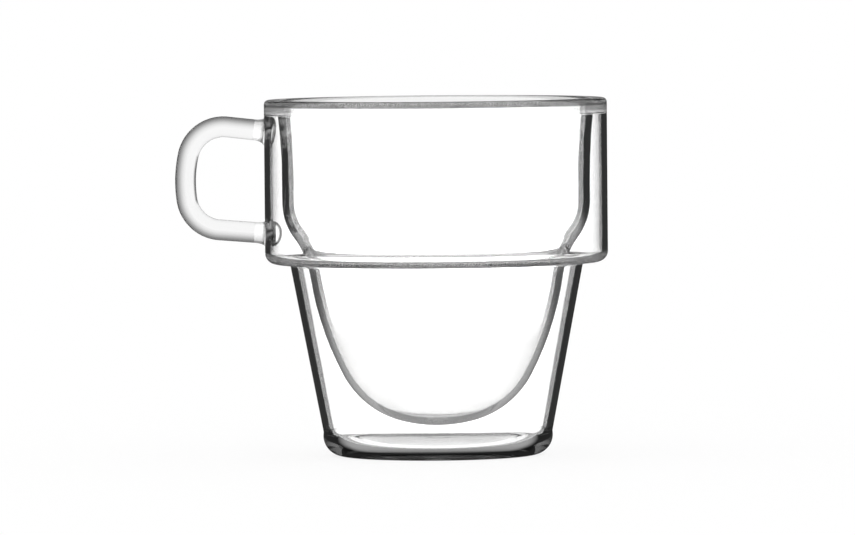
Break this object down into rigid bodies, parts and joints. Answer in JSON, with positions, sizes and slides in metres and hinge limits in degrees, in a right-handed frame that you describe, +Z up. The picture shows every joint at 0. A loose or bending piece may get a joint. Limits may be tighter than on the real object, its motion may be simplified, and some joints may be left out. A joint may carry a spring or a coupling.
{
  "type": "double-walled cortado glass",
  "caption": "Clear double-walled glass cup with a stepped conical lower body for stacking, a solid rim and a bent glass rod handle.",
  "frame": {"origin": "centre of the foot on the plane that the cup stands on", "axes": "+Z up along the cup's axis, -X towards the handle"},
  "size_m": [0.0958, 0.076, 0.079],
  "materials": {
    "shell_glass": "clear polished borosilicate glass",
    "bowl_glass": "clear polished borosilicate glass",
    "rim_glass": "clear fire-polished borosilicate glass",
    "handle_glass": "clear fire-polished borosilicate glass rod",
    "seal_glass": "clear melted glass drop"
  },
  "bodies": {
    "root": {"outer_shell": "shell_glass", "inner_bowl": "bowl_glass", "rim_bead": "rim_glass", "handle_rod": "handle_glass", "upper_root": "handle_glass", "lower_root": "handle_glass", "vent_seal": "seal_glass"}
  },
  "joints": []
}
